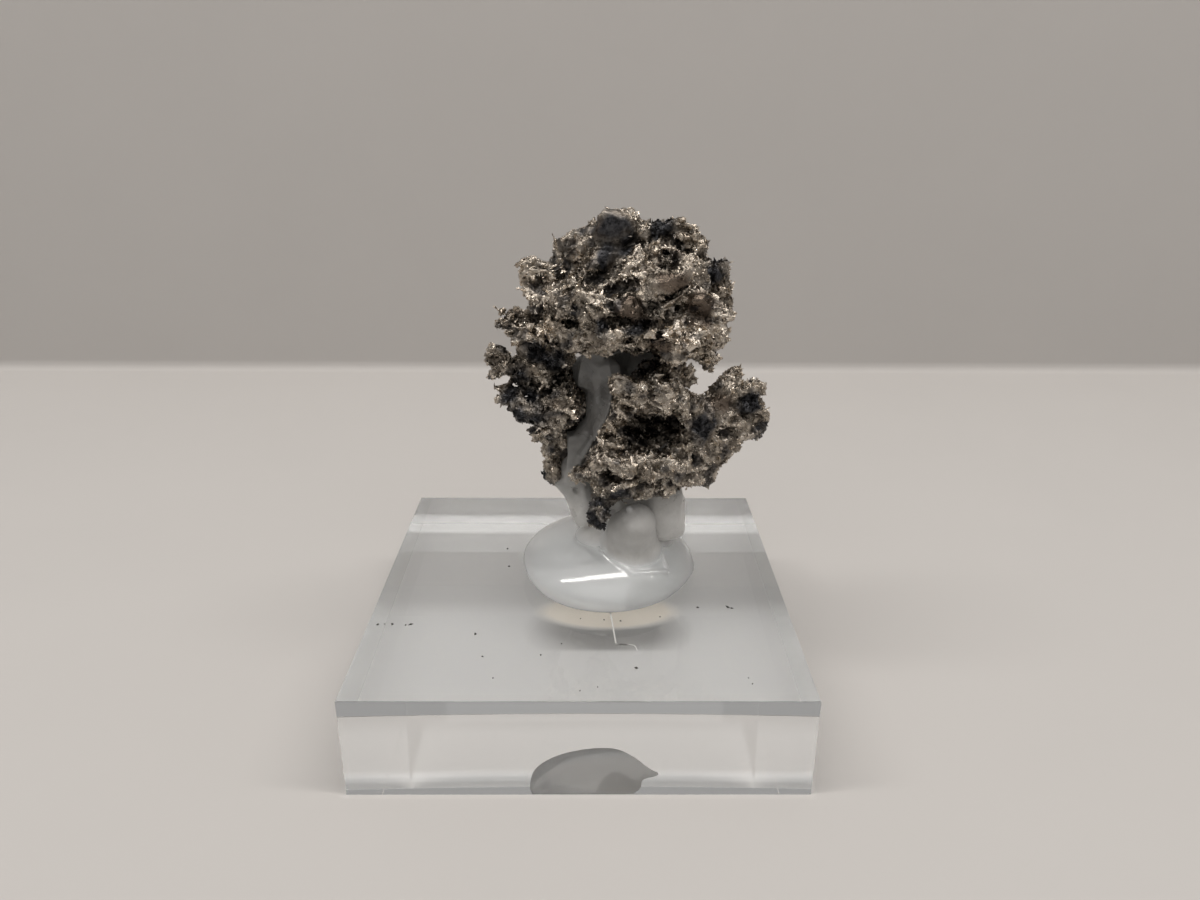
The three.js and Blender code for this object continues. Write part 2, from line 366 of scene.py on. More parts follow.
def make_object(name, points, faces, smooth, materials):
    """A mesh object from points in millimetres, with all its faces smooth or all flat."""
    mesh = bpy.data.meshes.new(name)
    mesh.from_pydata((np.asarray(points) * MM).tolist(), [], faces)
    mesh.polygons.foreach_set("use_smooth", np.full(len(faces), smooth))
    for material in materials:
        mesh.materials.append(material)
    return link_object(name, mesh)


def band_faces(rings, sides):
    """Faces between rings of corners that follow one another, each with this many corners."""
    faces = []
    for first in range(0, (rings - 1) * sides, sides):
        for k in range(sides):
            n = (k + 1) % sides
            faces.append((first + k, first + n, first + sides + n, first + sides + k))
    return faces


def ride(thing):
    """The object rides on the part's one body."""
    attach(thing, "root")


def stand_for(thing, node):
    """The object rides on the part's one body, in the place of a CAD node."""
    ride(thing)
    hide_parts(node)


# ---------------- shader nodes


def connect(tree, node, inputs):
    """Gives each of these inputs its value, or links another node's output to it."""
    for name, value in inputs.items():
        if isinstance(value, bpy.types.NodeSocket):
            tree.links.new(value, node.inputs[name])
        else:
            node.inputs[name].default_value = value


def add(tree, kind, inputs=None, **settings):
    """A shader node with these inputs and settings."""
    node = tree.nodes.new("ShaderNode" + kind)
    for name, value in settings.items():
        setattr(node, name, value)
    connect(tree, node, inputs or {})
    return node


def new_material(name, values):
    """A material with one Principled shader; returns it, its tree and the shader."""
    material = bpy.data.materials.new(name)
    material.use_nodes = True
    tree = material.node_tree
    shader = tree.nodes["Principled BSDF"]
    connect(tree, shader, values)
    return material, tree, shader


def place(tree):
    """The coordinates that every pattern is laid out in."""
    return add(tree, "TexCoord").outputs["Object"]


def place_xyz(tree):
    """The three coordinates one by one."""
    return add(tree, "SeparateXYZ", {"Vector": place(tree)}).outputs


def grey(tree, value):
    """A grey of this brightness."""
    return add(tree, "CombineColor", {0: value, 1: value, 2: value}).outputs[0]


def noise(tree, scale, detail=3.0, roughness=0.5, distortion=0.0):
    """A noise texture's value, about 0.5 on average."""
    inputs = {
        "Vector": place(tree),
        "Scale": scale,
        "Detail": detail,
        "Roughness": roughness,
        "Distortion": distortion,
    }
    return add(tree, "TexNoise", inputs).outputs["Fac"]


def spread(tree, value, low, high, to_low=0.0, to_high=1.0):
    """The value, from low to high, mapped to another range and held within it."""
    return add(tree, "MapRange", dict(enumerate((value, low, high, to_low, to_high)))).outputs["Result"]


def mix(tree, factor, first, second, blend="MIX"):
    """Two colours mixed by a factor."""
    first, second = ((*c, 1.0) if isinstance(c, tuple) else c for c in (first, second))
    inputs = {0: factor, 6: first, 7: second}
    return add(tree, "Mix", inputs, data_type="RGBA", blend_type=blend).outputs[2]


def math_node(tree, operation, first, second=0.0, third=0.0):
    """One step of arithmetic."""
    return add(tree, "Math", {0: first, 1: second, 2: third}, operation=operation).outputs[0]


def product(tree, first, second):
    """Two values multiplied."""
    return math_node(tree, "MULTIPLY", first, second)


def scaled_sum(tree, value, factor, base):
    """The value times a factor, added to a base."""
    return math_node(tree, "MULTIPLY_ADD", value, factor, base)


def bump(tree, height, strength, distance):
    """A normal from a height pattern; distance is in millimetres."""
    inputs = {"Height": height, "Strength": strength, "Distance": distance * MM}
    return add(tree, "Bump", inputs).outputs["Normal"]


# ---------------- materials


def silver_material():
    """Silver from bright champagne to blue-black tarnish, as the painted attribute says, darkened by
    painted shade in its hollows and pits.
    """
    material, tree, shader = new_material("native_silver", {"Metallic": 1.0, "Specular IOR Level": 0.5})
    paint = add(tree, "Attribute", attribute_name="paint")
    split = add(tree, "SeparateColor", {"Color": paint.outputs["Color"]})
    tone, hollow_shade, tarnish = split.outputs
    fleck = spread(tree, noise(tree, 2600, 2.0, 0.6), 0.36, 0.66)
    blotch = spread(tree, noise(tree, 520, 3.0, 0.6), 0.35, 0.65)
    bright = mix(tree, blotch, (0.47, 0.405, 0.33), (0.88, 0.80, 0.70))
    dull = mix(tree, blotch, (0.035, 0.028, 0.021), (0.095, 0.077, 0.060))
    film = mix(tree, blotch, (0.095, 0.075, 0.060), (0.18, 0.144, 0.115))
    blue_black = mix(tree, fleck, (0.020, 0.020, 0.022), (0.085, 0.085, 0.090))
    shine = scaled_sum(tree, fleck, 0.21, tone)
    colour = mix(tree, spread(tree, shine, -0.07, 0.78), dull, bright)
    colour = mix(tree, paint.outputs["Alpha"], colour, film)
    colour = mix(tree, tarnish, colour, blue_black)
    # painted shade in the hollows darkens the colour
    shade = grey(tree, spread(tree, hollow_shade, 0.0, 1.0, 1.0, 0.23))
    gloss = spread(tree, noise(tree, 1500, 2.0), 0.3, 0.7, 0.15, 0.42)
    height = math_node(tree, "ADD", noise(tree, 5200, 2.0, 0.6), noise(tree, 2300, 3.0, 0.7))
    connect(tree, shader, {
        "Base Color": mix(tree, 1.0, colour, shade, "MULTIPLY"),
        "Roughness": math_node(tree, "ADD", gloss, product(tree, tarnish, 0.18)),
        "Normal": bump(tree, height, 0.7, 0.11),
    })
    return material


def calcite_material():
    """Waxy calcite, a little clear, with faint veins and pits, painted white at its foot and grey higher
    up, a painted shade where the silver above shades it.
    """
    values = {
        "Subsurface Weight": 0.45,
        "Subsurface Radius": (1.0, 1.0, 1.0),
        "Subsurface Scale": 1.6 * MM,
        "IOR": 1.55,
        "Transmission Weight": 0.12,
        "Roughness": 0.32,
    }
    material, tree, shader = new_material("calcite", values)
    clouds = spread(tree, noise(tree, 260, 4.0, 0.6, 0.4), 0.35, 0.65)
    lit_calcite = mix(tree, clouds, (0.62, 0.61, 0.585), (0.80, 0.79, 0.77))
    shaded_calcite = mix(tree, clouds, (0.20, 0.195, 0.187), (0.315, 0.31, 0.30))
    # painted shade: the calcite darkens upward into the shade of the silver above it
    painted_shade_upward = spread(tree, place_xyz(tree)["Z"], 16.3 * MM, 22.0 * MM)
    veins = spread(tree, noise(tree, 900, 5.0, 0.7, 1.5), 0.60, 0.72)
    pits = math_node(tree, "ADD", noise(tree, 700, 4.0, 0.6), noise(tree, 2400, 2.0))
    colour = mix(tree, painted_shade_upward, lit_calcite, shaded_calcite)
    connect(tree, shader, {
        "Base Color": mix(tree, product(tree, veins, 0.35), colour, (0.30, 0.30, 0.30)),
        "Roughness": spread(tree, clouds, 0.0, 1.0, 0.24, 0.42),
        "Normal": bump(tree, pits, 0.35, 0.12),
    })
    return material


def acrylic_material():
    """Clear cast acrylic with the faint haze of handling."""
    values = {
        "Base Color": (0.978, 0.993, 1.0, 1.0),
        "Transmission Weight": 1.0,
        "IOR": 1.49,
        "Roughness": 0.0,
    }
    material, tree, shader = new_material("acrylic", values)
    haze = spread(tree, noise(tree, 120, 5.0, 0.65), 0.55, 0.8, 0.0, 0.05)
    connect(tree, shader, {"Roughness": haze})
    return material


def wetted_material(name, clear_share):
    """The glued patch, where this share of the light goes straight on between glue and block."""
    values = {
        "Transmission Weight": clear_share,
        "IOR": 1.0,
        "Roughness": 0.0,
        "Specular IOR Level": 0.0,
    }
    material, tree, shader = new_material(name, values)
    tint = spread(tree, noise(tree, 400, 3.0), 0.0, 1.0, 0.98, 1.0)
    connect(tree, shader, {"Base Color": grey(tree, tint)})
    return material


def glue_material():
    """Clear glue, frosted and milky where the painted attribute says, the milky blob painted darker
    higher up as shade.
    """
    values = {
        "IOR": 1.49,
        "Coat Roughness": 0.03,
        "Coat IOR": 1.49,
        "Subsurface Weight": 0.8,
        "Subsurface Radius": (1.0, 1.0, 1.0),
        "Subsurface Scale": 2.0 * MM,
    }
    material, tree, shader = new_material("glue", values)
    frost = add(tree, "Attribute", attribute_name="frost").outputs["Fac"]
    mottle = spread(tree, noise(tree, 700, 4.0, 0.6), 0.3, 0.7)
    milky = mix(tree, mottle, (0.66, 0.65, 0.63), (0.82, 0.81, 0.79))
    # painted shade: the frosted blob is darker higher up and lighter at its foot, where light comes up
    # through the clear glue
    painted_shade_upward = spread(tree, place_xyz(tree)["Z"], 13.5 * MM, 18.0 * MM, 0.0, 0.3)
    milky = mix(tree, painted_shade_upward, milky, (0.40, 0.39, 0.38))
    tip = tuple(c * MM for c in NIPPLE[:3])
    away = add(tree, "VectorMath", {0: place(tree), 1: tip}, operation="DISTANCE").outputs["Value"]
    rings = math_node(tree, "SINE", product(tree, away, 2 * math.pi / (NIPPLE_RING * MM)))
    rings = product(tree, rings, spread(tree, away, 0.5 * MM, 1.7 * MM, 0.35, 0.0))
    height = math_node(tree, "ADD", rings, noise(tree, 1300, 4.0, 0.7))
    connect(tree, shader, {
        "Base Color": mix(tree, frost, (0.89, 0.915, 0.925), milky),
        "Roughness": spread(tree, frost, 0.0, 1.0, 0.13, 0.6),
        "Transmission Weight": spread(tree, frost, 0.0, 1.0, 0.58, 0.30),
        "Coat Weight": spread(tree, frost, 0.0, 0.8, 0.6, 0.0),
        "Normal": bump(tree, product(tree, height, frost), 0.5, 0.12),
    })
    return material


# ---------------- shapes as distance fields


def offsets_from_rod(x, y, z, start, end):
    """Offsets from the nearest point of the line between two points, and the radius there."""
    x0, y0, z0, r0 = start
    dx, dy, dz = (end[k] - start[k] for k in range(3))
    along = ((x - x0) * dx + (y - y0) * dy + (z - z0) * dz) / (dx * dx + dy * dy + dz * dz)
    along = np.clip(along, 0, 1)
    return x - x0 - along * dx, y - y0 - along * dy, z - z0 - along * dz, r0 + along * (end[3] - r0)


def capsule(x, y, z, start, end):
    """Distance to a rod that runs between two points and swells or narrows from one to the other."""
    dx, dy, dz, radius = offsets_from_rod(x, y, z, start, end)
    return np.sqrt(dx**2 + dy**2 + dz**2) - radius


def turned(x, y, z, centre, tilt):
    """Offsets from a centre along axes that are turned about the y axis by tilt degrees."""
    turn = math.radians(tilt)
    dx, dy, dz = x - centre[0], y - centre[1], z - centre[2]
    return dx * math.cos(turn) + dz * math.sin(turn), dy, dz * math.cos(turn) - dx * math.sin(turn)


def ellipsoid(x, y, z, centre, radii, tilt=0.0):
    """About the distance to an egg shape."""
    along, deep, over = turned(x, y, z, centre, tilt)
    reach = np.sqrt((along / radii[0]) ** 2 + (deep / radii[1]) ** 2 + (over / radii[2]) ** 2)
    return (reach - 1) * min(radii)


def cuboid(x, y, z, centre, half, tilt, rounding):
    """About the distance to a box with rounded edges."""
    sides = [np.abs(side) - size + rounding for side, size in zip(turned(x, y, z, centre, tilt), half)]
    corner = sum(np.maximum(side, 0) ** 2 for side in sides)
    return np.sqrt(corner) + np.minimum(np.maximum(np.maximum(*sides[:2]), sides[2]), 0) - rounding


def smooth_min(a, b, width):
    """The lower of two fields, with a fillet of about this width where they meet."""
    h = np.clip(0.5 + (b - a) / (2 * width), 0, 1)
    return b + (a - b) * h - width * h * (1 - h)


def outline_distance(x, y, outline):
    """Signed distance in plan to a closed outline, positive outside."""
    nearest = np.full(np.broadcast(x, y).shape, 1e9)
    inside = np.zeros(nearest.shape, bool)
    for (x0, y0), (x1, y1) in zip(outline, outline[1:] + outline[:1]):
        dx, dy = x1 - x0, y1 - y0
        along = np.clip(((x - x0) * dx + (y - y0) * dy) / (dx * dx + dy * dy), 0, 1)
        nearest = np.minimum(nearest, (x - x0 - along * dx) ** 2 + (y - y0 - along * dy) ** 2)
        crosses = ((y0 > y) != (y1 > y)) & (x < (x1 - x0) * (y - y0) / (y1 - y0 + 1e-12) + x0)
        inside ^= crosses
    return np.where(inside, -1, 1) * np.sqrt(nearest)


# ---------------- silver


def near(points, spots, ragged):
    """How deep each point lies in any of the spots, 0 outside to 1 in the middle, with ragged rims."""
    strength = np.zeros(len(points))
    for *centre, radius in spots:
        away = np.linalg.norm(points - centre, axis=1) / radius + SPOT_RAGGEDNESS * ragged
        strength = np.maximum(strength, np.clip(SPOT_SHARPNESS * (SPOT_REACH - away), 0, 1))
    return strength


def silver_fields():
    """The grid, and on it the whole silver, each node's share, how enclosed places are, and noise."""
    low, high = node_box(*SILVER_NODES)
    grid = Grid(low - SILVER_MARGIN, high + SILVER_MARGIN, SILVER_CELL)
    nodes = [grid.distance(*node_mesh(name)) for name in SILVER_NODES]
    whole = grid.blur(np.minimum.reduce(nodes), SILVER_ROUNDING) - SILVER_SWELL
    x, y, z = grid.coordinates()
    for centre, radii, tilt in SILVER_SLABS:
        whole = smooth_min(whole, ellipsoid(x, y, z, centre, radii, tilt), SLAB_FILLET)
    for foot, tip in SILVER_TINES:
        whole = smooth_min(whole, capsule(x, y, z, foot, tip), TINE_FILLET)
    calm = 1 - PLATE_CALM * np.clip(1.3 - ellipsoid(x, y, z, *PLATE) / 0.8, 0, 1)
    for x0, y0, z0, radius in FILM:
        away = np.sqrt((x - x0) ** 2 + (y - y0) ** 2 + (z - z0) ** 2) / radius
        calm = np.minimum(calm, 1 - FILM_CALM * np.clip(2.6 - 2 * away, 0, 1))
    for sizes, depth, sense, seed in SILVER_RELIEF:
        relief = RELIEF_MIDDLE - np.minimum(np.abs(grid.noise(sizes, seed)), RELIEF_LIMIT)
        whole += sense * depth * calm * relief
    ragged = grid.noise((1.1, 1.1, 1.1), 15)
    for centre, radii, tilt in SILVER_HOLLOWS:
        wall = HOLLOW_RAGGEDNESS * ragged * min(radii)
        whole = np.maximum(whole, wall - ellipsoid(x, y, z, centre, radii, tilt))
    solid = np.clip(0.5 - whole / SILVER_CELL, 0, 1)
    return SimpleNamespace(
        grid=grid,
        whole=whole,
        nodes=nodes,
        wide=grid.blur(solid, 1.0),
        narrow=grid.blur(solid, 0.35),
        ragged=ragged,
        speckle=grid.noise((0.7, 0.7, 0.6), 16),
    )


def largest_body(points, quads):
    """The surface without the crumbs that don't join its largest body."""
    label = np.arange(len(points))
    while True:
        lowest = np.repeat(label[quads].min(axis=1), 4)
        joined = label.copy()
        np.minimum.at(joined, quads.ravel(), lowest)
        joined = joined[joined]
        if np.array_equal(joined, label):
            break
        label = joined
    kept = label == np.bincount(label).argmax()
    number = np.cumsum(kept) - 1
    return points[kept], number[quads[kept[quads[:, 0]]]]


def triangle_frames(points, quads):
    """Corner, two edges, unit normal and area of the triangles that the quads are made of."""
    triangles = np.concatenate([quads[:, (0, 1, 2)], quads[:, (0, 2, 3)]])
    corner, second, third = (points[triangles[:, k]] for k in range(3))
    cross = np.cross(second - corner, third - corner)
    length = np.linalg.norm(cross, axis=1) + 1e-12
    return corner, second - corner, third - corner, cross / length[:, None], length / 2


def scatter(frames, count, weight, rng):
    """Random places on the triangles and their normals."""
    corner, edge_a, edge_b, normal, area = frames
    share = area * weight
    chosen = rng.choice(len(area), count, p=share / share.sum())
    a, b = rng.random((2, count, 1))
    over = (a + b) > 1
    a, b = np.where(over, 1 - a, a), np.where(over, 1 - b, b)
    return corner[chosen] + a * edge_a[chosen] + b * edge_b[chosen], normal[chosen]


def unit(vectors):
    """The vectors, each brought to a length of 1."""
    return vectors / (np.linalg.norm(vectors, axis=1, keepdims=True) + 1e-12)


OCTAHEDRON = np.array([(1, 0, 0), (-1, 0, 0), (0, 1, 0), (0, -1, 0), (0, 0, 1), (0, 0, -1)], float)
OCTAHEDRON_FACES = np.array(
    [(0, 2, 4), (2, 1, 4), (1, 3, 4), (3, 0, 4), (2, 0, 5), (1, 2, 5), (3, 1, 5), (0, 3, 5)]
)


def grain_mesh(centres, along, sizes, rng):
    """Small eight-sided grains with uneven corners; each points along its own direction."""
    first = unit(along)
    second = unit(np.cross(first, rng.standard_normal(first.shape)))
    third = np.cross(first, second)
    axes = np.stack([first, second, third], axis=1)
    corners = OCTAHEDRON[None] * sizes[:, None, :] * rng.uniform(0.7, 1.25, (len(centres), 6, 1))
    corners = corners + rng.normal(0, 0.12, corners.shape) * sizes[:, None, 1:2]
    points = centres[:, None, :] + corners @ axes
    faces = OCTAHEDRON_FACES[None] + 6 * np.arange(len(centres))[:, None, None]
    return points.reshape(-1, 3), faces.reshape(-1, 3)


def grain_cloud(fields, frames, count, openness, rng):
    """Crumbs and hackly leaves on the open surface: their points, faces and brightness."""
    centres, normals = scatter(frames, count, openness, rng)
    ragged = fields.grid.sample(fields.ragged, centres)
    plate = np.maximum(0.75 * near(centres, FILM, ragged), near(centres, TARNISH[:1], ragged))
    keep = rng.random(count) > 0.92 * plate
    centres, normals, plate = centres[keep], normals[keep], plate[keep, None]
    count = len(centres)
    hackly_and_lit = near(centres, HACKLY_AND_LIT_SPOTS, ragged[keep])
    leaf = rng.random((count, 1)) < LEAF_SHARE + 0.35 * hackly_and_lit[:, None]
    size = rng.lognormal(0, 0.3, (count, 1)) * (1 - 0.4 * plate)
    crumbs = size * rng.uniform(0.7, 1.1, (count, 3)) * CRUMB_SIZE
    leaves = size * np.array(LEAF_SIZES) * (1 + 0.6 * hackly_and_lit[:, None])
    along = normals * np.where(leaf, 0.9, 0.2) + unit(rng.standard_normal((count, 3)))
    centres = centres + normals * rng.uniform(-0.10, 0.05, (count, 1))
    points, faces = grain_mesh(centres, along, np.where(leaf, leaves, crumbs), rng)
    # grains in those spots are painted brighter, a painted highlight
    tone = np.clip(rng.beta(1.3, 2.6, count) + 0.35 * hackly_and_lit, 0, 1.4)
    return points, faces, np.repeat(tone, 6)


def twig_clouds(fields, frames, count, openness, rng):
    """Short bent twigs on the outermost surface; a list with all the first joints, then the next."""
    base, out = scatter(frames, count, openness, rng)
    keep = rng.random(count) < np.clip(1.6 - 2.6 * fields.grid.sample(fields.wide, base), 0, 1)
    base, out = base[keep], unit(out[keep] + 0.6 * unit(rng.standard_normal((keep.sum(), 3))))
    clouds = []
    for joint in range(TWIG_JOINTS):
        sizes = np.array(TWIG_SIZES) - joint * np.array(TWIG_TAPER)
        length = sizes[0]
        middle = base + out * length * 0.7
        sizes = sizes * rng.lognormal(0, 0.2, (len(base), 1))
        points, faces = grain_mesh(middle, out, sizes, rng)
        clouds.append((points, faces, np.repeat(rng.beta(1.5, 2.0, len(base)), 6)))
        base = middle + out * length * 0.6
        out = unit(out + 0.7 * unit(rng.standard_normal(out.shape)))
        keep = rng.random(len(base)) < 0.6
        base, out = base[keep], out[keep]
    return clouds


def silver_piece(node, index, fields, material):
    """One node's silver: a closed lumpy core with its grains and twigs on it."""
    rng = np.random.default_rng(100 + index)
    others = np.minimum.reduce([n for k, n in enumerate(fields.nodes) if k != index])
    own = np.maximum(fields.whole, fields.nodes[index] - others - SILVER_OVERLAP)
    points, quads = largest_body(*fields.grid.surface(own))
    core = make_object(node + "_visual", points, quads.tolist(), True, [material])
    paint(core, points, np.full(len(points), CORE_TONE), fields)
    stand_for(core, node)

    frames = triangle_frames(points, quads)
    corner, edge_a, edge_b, _, areas = frames
    area = areas.sum()
    depth = fields.grid.sample(fields.whole, corner + (edge_a + edge_b) / 3)
    openness = np.where(depth < -CUT_DEPTH, 0.0, 1.0)
    clouds = [grain_cloud(fields, frames, int(GRAINS_PER_MM2 * area), openness, rng)]
    clouds += twig_clouds(fields, frames, int(TWIGS_PER_MM2 * area), openness, rng)
    cloud_points, cloud_faces, tones = zip(*clouds)
    starts = np.cumsum([0] + [len(p) for p in cloud_points[:-1]])
    faces = np.concatenate([f + start for f, start in zip(cloud_faces, starts)])
    points = np.concatenate(cloud_points)
    grains = make_object(node + "_grains", points, faces.tolist(), False, [material])
    paint(grains, points, np.concatenate(tones), fields)
    ride(grains)


def paint(piece, points, tone, fields):
    """Stores each point's tone, which holds painted light on crests and painted shade in pits, its
    painted shade in hollows and in the shade spots, and how tarnished and filmed it is, for the silver
    material.
    """
    arrays = (fields.ragged, fields.speckle, fields.wide, fields.narrow)
    ragged, fleck, wide, narrow = (fields.grid.sample(array, points) for array in arrays)
    # painted light and shade: the tone is raised on open crests and lowered in pits
    crest_light_and_pit_shade = 1.5 * (0.42 - narrow)
    tone = tone + crest_light_and_pit_shade + 0.4 * near(points, HACKLY_AND_LIT_SPOTS, ragged) - 0.3 * near(points, DULL, ragged)
    # painted shade: darker where the silver is enclosed, as shade falls in its pits and hollows
    hollow_shade = np.clip(2.8 * (wide - 0.46), 0, 1) + np.clip(1.5 * (narrow - 0.56), 0, 0.5)
    tarnish = near(points, TARNISH, ragged) * np.clip(0.95 + 0.3 * fleck, 0, 1)
    values = np.stack([
        np.clip(tone, 0, 1.5),
        np.clip(np.maximum(hollow_shade, near(points, SHADE, ragged)), 0, 1),
        np.maximum(tarnish, np.clip(1.4 * fleck - 1.1, 0, 0.7)),
        near(points, FILM, ragged),
    ], axis=1)
    attribute = piece.data.color_attributes.new(name="paint", type="FLOAT_COLOR", domain="POINT")
    attribute.data.foreach_set("color", values.astype(np.float32).ravel())


# ---------------- calcite
CALCITE_CELL = 0.16
CALCITE_MARGIN = 1.2
CALCITE_ROUNDING = 0.55  # blur of the CAD solid, which takes off its flat facets
CALCITE_SWELL = 0.1
# the cleavage face that slants in at the left foot: x and z of a point on it, and its direction
CALCITE_FOOT = (0.0, 14.2)
FOOT_DIRECTION = (0.866, 0.5)
# flat-faced cleavage blocks that stand out: centre, half sizes, the tilt up to the right in degrees,
# the rounding of their edges, and the fillet that joins them to the rest
CALCITE_BLOCKS = (
    ((-0.8, 1.3, 17.4), (0.8, 1.2, 2.6), 28, 0.1, 0.35),
    ((7.8, 0.2, 16.9), (1.75, 1.9, 2.7), 5, 1.0, 1.2),
    ((-0.5, 0.5, 22.6), (0.95, 0.9, 1.9), 6, 0.1, 0.35),
    ((0.9, 0.6, 30.5), (1.2, 0.6, 1.9), -6, 0.1, 0.35),
)
BACK_FILLET = 0.3
# the thick back of the calcite, down its length: x, y, z, radius
CALCITE_BACK = (
    (6.0, 5.0, 29.3, 3.1),
    (5.0, 5.0, 24.6, 4.0),
    (5.0, 3.8, 19.2, 4.1),
    (4.6, 3.0, 14.0, 3.9),
)
# directions square to the three cleavages, and the least and most that their steps are apart
CLEAVAGE = (
    (0.43, 0.9, -0.1),
    (-0.3, 0.52, 0.8),
    (0.78, -0.01, 0.63),
)
CLEAVAGE_STEPS = (0.9, 3.0)
CLEAVAGE_EDGE = 0.16  # how soft the steps' edges are
CLEAVAGE_LIMIT = 1.1  # how far the steps may move the surface
CLEAVED_FROM, CLEAVED_TO = 1.8, 3.2  # y where the steps begin and where they are full
# the section of the blade in front: how much its depth counts, its size, and what makes a distance
BLADE_DEPTH, BLADE_SIZE, BLADE_SCALE = 0.42, 1.15, 0.8
RIDGE_FILLET = 0.12
# the curved blade on the front of the calcite: x, y, z, half width
CALCITE_RIDGE = (
    (2.5, 0.5, 30.8, 1.0),
    (2.7, 0.0, 29.3, 1.0),
    (2.6, -0.3, 28.0, 0.9),
    (2.1, -0.4, 26.3, 0.9),
    (1.2, -0.2, 24.5, 0.9),
    (0.2, 0.1, 22.7, 0.9),
    (-0.6, 0.6, 20.7, 0.8),
    (-0.8, 1.0, 19.1, 0.7),
)


def cleaved(grid, body):
    """The body broken back to the flat-faced steps of calcite's cleavage."""
    normals = np.array(CLEAVAGE)
    places = np.stack(np.broadcast_arrays(*grid.coordinates()), axis=-1).reshape(-1, 3)
    along = places @ normals.T
    rng = np.random.default_rng(34)
    for column in along.T:
        edges = column.min() - 1 + np.cumsum(rng.uniform(*CLEAVAGE_STEPS, 60))
        edges = np.concatenate([[column.min() - 2], edges])
        step = np.searchsorted(edges, column)
        column[:] = (edges[step - 1] + edges[step]) / 2
    cell_middles = np.linalg.solve(normals, along.T).T
    solid = (grid.sample(body, cell_middles) < 0).reshape(grid.shape).astype(np.float32)
    steps = 0.6 * (0.5 - grid.blur(solid, CLEAVAGE_EDGE))
    return np.clip(steps, body - CLEAVAGE_LIMIT, body + CLEAVAGE_LIMIT)


def calcite_piece(material):
    """The calcite: the CAD body rounded, with its curved blade, its feet and cleavage steps behind."""
    low, high = node_box("calcite_matrix")
    grid = Grid(low - CALCITE_MARGIN, high + CALCITE_MARGIN, CALCITE_CELL)
    body = grid.blur(grid.distance(*node_mesh("calcite_matrix")), CALCITE_ROUNDING) - CALCITE_SWELL
    x, y, z = grid.coordinates()
    for top, bottom in zip(CALCITE_BACK, CALCITE_BACK[1:]):
        body = smooth_min(body, capsule(x, y, z, top, bottom), BACK_FILLET)
    behind = np.clip((y - CLEAVED_FROM) / (CLEAVED_TO - CLEAVED_FROM), 0, 1)
    body = body + behind * (cleaved(grid, body) - body)
    for top, bottom in zip(CALCITE_RIDGE, CALCITE_RIDGE[1:]):
        across, deep, over, width = offsets_from_rod(x, y, z, top, bottom)
        blade = np.abs(across) + BLADE_DEPTH * np.abs(deep) + np.abs(over) - BLADE_SIZE * width
        body = smooth_min(body, BLADE_SCALE * blade, RIDGE_FILLET)
    for centre, half, tilt, rounding, fillet in CALCITE_BLOCKS:
        body = smooth_min(body, cuboid(x, y, z, centre, half, tilt, rounding), fillet)
    foot = FOOT_DIRECTION[1] * (CALCITE_FOOT[1] - z) + FOOT_DIRECTION[0] * (CALCITE_FOOT[0] - x)
    body = np.maximum(body, foot)
    uneven = 0.10 * grid.noise((2.2, 2.2, 2.6), 31) + 0.06 * grid.noise((0.9, 0.9, 1.2), 32)
    body += (1 - 0.6 * behind) * uneven + 0.03 * np.abs(grid.noise((0.5, 0.5, 0.5), 33))
    points, quads = grid.surface(body)
    piece = make_object("calcite_visual", points, quads.tolist(), True, [material])
    stand_for(piece, "calcite_matrix")


# ---------------- glue
BLOCK_TOP = node_box("acrylic_block")[1][2]
GLUE_CELL = 0.2
GLUE_CENTRE = (2.7, 2.0)
GLUE_RADII = (8.48, 8.7)
RIM_HEIGHT = (1.07, -0.06)  # shares of the rim's full height at x = 0 and for each mm to the right
DOME_HEIGHT = (1.03, 0.04)  # and of the dome's on top of it
GLUE_RIM_HEIGHT = 1.15
GLUE_DOME_HEIGHT = 3.5
MOUND_POWERS = (2.2, 1.7)  # how square the mound is in plan, and how blunt on top
MOUND_SCALE = 2.2  # makes about a distance of the mound's formula
TUCK_DEPTH, TUCK_POWER = 0.06, 1.8  # how far the rim draws in at the block, and how suddenly
GLUE_CONTACT_GAP = 0.005
UNDERSIDE_SLOPE = 0.17
UNDERSIDE_FILLET = 0.12
SHOULDER_FILLET, SKIRT_FILLET, NIPPLE_FILLET = 0.5, 1.2, 0.15
BLOB_FILLET = 1.0
CREASE_FILLET = 0.15
FROST_START, FROST_SPAN = 0.7, 0.6  # mm outside the blob where the frost begins, and its soft rim
GLUE_PROBE = 0.02  # half the span over which the slope of the glue's field is measured
# outline of the patch where the glue wets the block: x, y
CONTACT = (
    (-5.0, 1.9),
    (-4.7, 5.2),
    (-3.5, 8.0),
    (-1.4, 10.0),
    (1.4, 10.6),
    (3.9, 9.8),
    (5.6, 7.4),
    (6.6, 5.2),
    (8.0, 3.6),
    (5.9, 2.6),
    (4.7, 0.0),
    (4.0, -3.0),
    (3.7, -5.4),
    (1.6, -6.1),
    (-1.6, -5.4),
    (-3.9, -3.0),
    (-4.9, -0.4),
)
# the blob of surplus glue in front of the calcite: ball, then the neck under it; x, y, z, radius
KNOB = (5.1, -2.6, 16.65, 1.8)
NECK = (4.6, -1.0, 13.2, 2.75)
SHOULDER = ((3.9, -2.0, 15.5), (1.5, 1.6, 1.9))
SKIRT = ((4.0, 0.7, 12.6), (4.1, 3.0, 3.2))
# creases drawn in the glue below the blob: start, then end; each x, y, z, radius
CREASES = (
    ((2.0, -2.5, 13.75, 0.22), (3.6, -4.0, 12.95, 0.22)),
    ((3.6, -4.0, 12.95, 0.22), (4.8, -4.6, 12.45, 0.22)),
    ((4.8, -4.6, 12.45, 0.22), (8.0, -3.4, 11.95, 0.22)),
    ((7.5, -1.9, 13.15, 0.22), (8.0, -2.9, 12.2, 0.22)),
)
